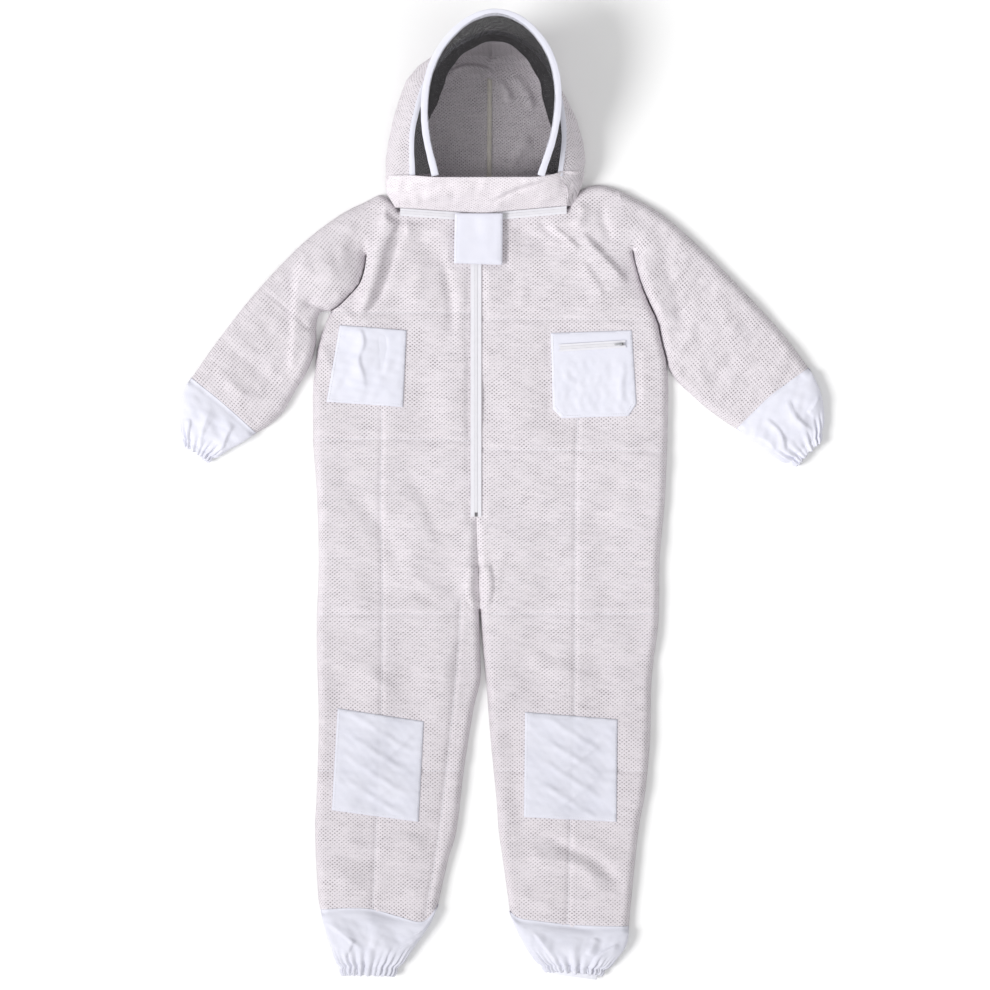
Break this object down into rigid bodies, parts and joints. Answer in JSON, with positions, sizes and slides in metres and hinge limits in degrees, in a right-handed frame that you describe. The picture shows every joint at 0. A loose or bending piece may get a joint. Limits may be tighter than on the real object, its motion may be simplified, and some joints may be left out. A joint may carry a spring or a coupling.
{
  "type": "beekeeping suit",
  "caption": "Full-length ventilated beekeeping suit laid flat on its back, with a wire-hooped veil hood, elastic cuffs, knee patches and chest pockets.",
  "frame": {"origin": "on the floor, under the middle of the whole suit's box", "axes": "+Z out of the chest, +Y from the feet to the head, +X to the wearer's left"},
  "size_m": [1.2241, 1.8393, 0.1952],
  "materials": {
    "air_mesh": "three-layer spacer mesh, waffle weave, pale warm grey",
    "white_cotton": "plain woven white cotton drill",
    "black_net": "fine black veil netting",
    "zip_tape": "white woven zip tape",
    "zip_coil": "white nylon coil",
    "slider_metal": "grey metal slider",
    "elastic": "white woven elastic",
    "hook_loop": "white hook-and-loop tape",
    "spring_wire": "plain spring steel wire"
  },
  "bodies": {
    "suit": {"back_panel": "air_mesh", "front_panel_right": "air_mesh", "front_panel_left": "air_mesh", "patch_pocket": "white_cotton", "zip_pocket": "white_cotton", "pocket_zip_tape_upper": "zip_tape", "pocket_zip_tape_lower": "zip_tape", "neck_zip_tape_suit": "zip_tape", "neck_zip_tape_hood": "zip_tape", "main_zip_tape_right": "zip_tape", "main_zip_tape_left": "zip_tape", "main_zip_chain": "zip_coil", "pocket_zip_chain": "zip_coil", "neck_zip_chain": "zip_coil", "main_zip_stop": "slider_metal", "loop_pad_right": "hook_loop", "loop_pad_left": "hook_loop"},
    "hood": {"hood_shell": "air_mesh", "chin_panel": "air_mesh", "rear_hoop_binding": "white_cotton", "side_net": "black_net", "rear_hoop_wire": "spring_wire"},
    "leg_right": {"leg_front_right": "air_mesh", "leg_back_right": "air_mesh", "ankle_cuff_right": "white_cotton", "knee_patch_right": "white_cotton", "ankle_elastic_right": "elastic"},
    "arm_right": {"sleeve_right": "air_mesh", "wrist_cuff_right": "white_cotton", "wrist_elastic_right": "elastic"},
    "leg_left": {"leg_front_left": "air_mesh", "leg_back_left": "air_mesh", "ankle_cuff_left": "white_cotton", "knee_patch_left": "white_cotton", "ankle_elastic_left": "elastic"},
    "arm_left": {"sleeve_left": "air_mesh", "wrist_cuff_left": "white_cotton", "wrist_elastic_left": "elastic"},
    "flap": {"closure_flap": "white_cotton", "hook_pad_right": "hook_loop", "hook_pad_left": "hook_loop"},
    "veil": {"front_hoop_binding": "white_cotton", "face_net": "black_net", "front_hoop_wire": "spring_wire"},
    "main_slider": {"main_zip_slider": "slider_metal"},
    "main_pull": {"main_zip_pull": "slider_metal"},
    "pocket_slider": {"pocket_zip_slider": "slider_metal"},
    "pocket_pull": {"pocket_zip_pull": "slider_metal"},
    "neck_slider": {"neck_zip_slider": "slider_metal"},
    "neck_pull": {"neck_zip_pull": "slider_metal"}
  },
  "joints": [
    {"name": "shoulder_right", "type": "hinge", "parent": "suit", "child": "arm_right", "pos_m": [-0.34, 0.48, 0.012], "axis": [0, 0, -1], "range_deg": [0, 25]},
    {"name": "shoulder_left", "type": "hinge", "parent": "suit", "child": "arm_left", "pos_m": [0.325, 0.48, 0.012], "axis": [0, 0, 1], "range_deg": [0, 25]},
    {"name": "hip_right", "type": "hinge", "parent": "suit", "child": "leg_right", "pos_m": [-0.196, -0.19, 0.012], "axis": [0, 0, -1], "range_deg": [0, 10]},
    {"name": "hip_left", "type": "hinge", "parent": "suit", "child": "leg_left", "pos_m": [0.132, -0.19, 0.012], "axis": [0, 0, 1], "range_deg": [0, 10]},
    {"name": "hood_tilt", "type": "hinge", "parent": "suit", "child": "hood", "pos_m": [-0.031, 0.5405, 0.0272], "axis": [1, 0, 0], "range_deg": [0, 25]},
    {"name": "veil_fold", "type": "hinge", "parent": "hood", "child": "veil", "pos_m": [-0.025, 0.602, 0.097], "axis": [1, 0, 0], "range_deg": [-10, 0], "deforming": ["side_net"]},
    {"name": "flap_open", "type": "hinge", "parent": "suit", "child": "flap", "pos_m": [-0.043, 0.538, 0.0357], "axis": [-1, 0, 0], "range_deg": [0, 95]},
    {"name": "main_zip_slide", "type": "slide", "parent": "suit", "child": "main_slider", "axis": [0, -1, 0], "range_m": [0, 0.52]},
    {"name": "main_pull_lift", "type": "hinge", "parent": "main_slider", "child": "main_pull", "pos_m": [-0.048, 0.5074, 0.0303], "axis": [-1, 0, 0], "range_deg": [0, 5]},
    {"name": "pocket_zip_slide", "type": "slide", "parent": "suit", "child": "pocket_slider", "axis": [-0.998, -0.0629, 0], "range_m": [0, 0.1]},
    {"name": "pocket_pull_lift", "type": "hinge", "parent": "pocket_slider", "child": "pocket_pull", "pos_m": [0.22886, 0.28955, 0.0331], "axis": [-0.0629, 0.998, 0], "range_deg": [0, 150]},
    {"name": "neck_zip_slide", "type": "slide", "parent": "suit", "child": "neck_slider", "axis": [0.996, 0.0896, 0], "range_m": [0, 0.115]},
    {"name": "neck_pull_lift", "type": "hinge", "parent": "neck_slider", "child": "neck_pull", "pos_m": [-0.01539, 0.53221, 0.0303], "axis": [0.0896, -0.996, 0], "range_deg": [0, 5]}
  ]
}
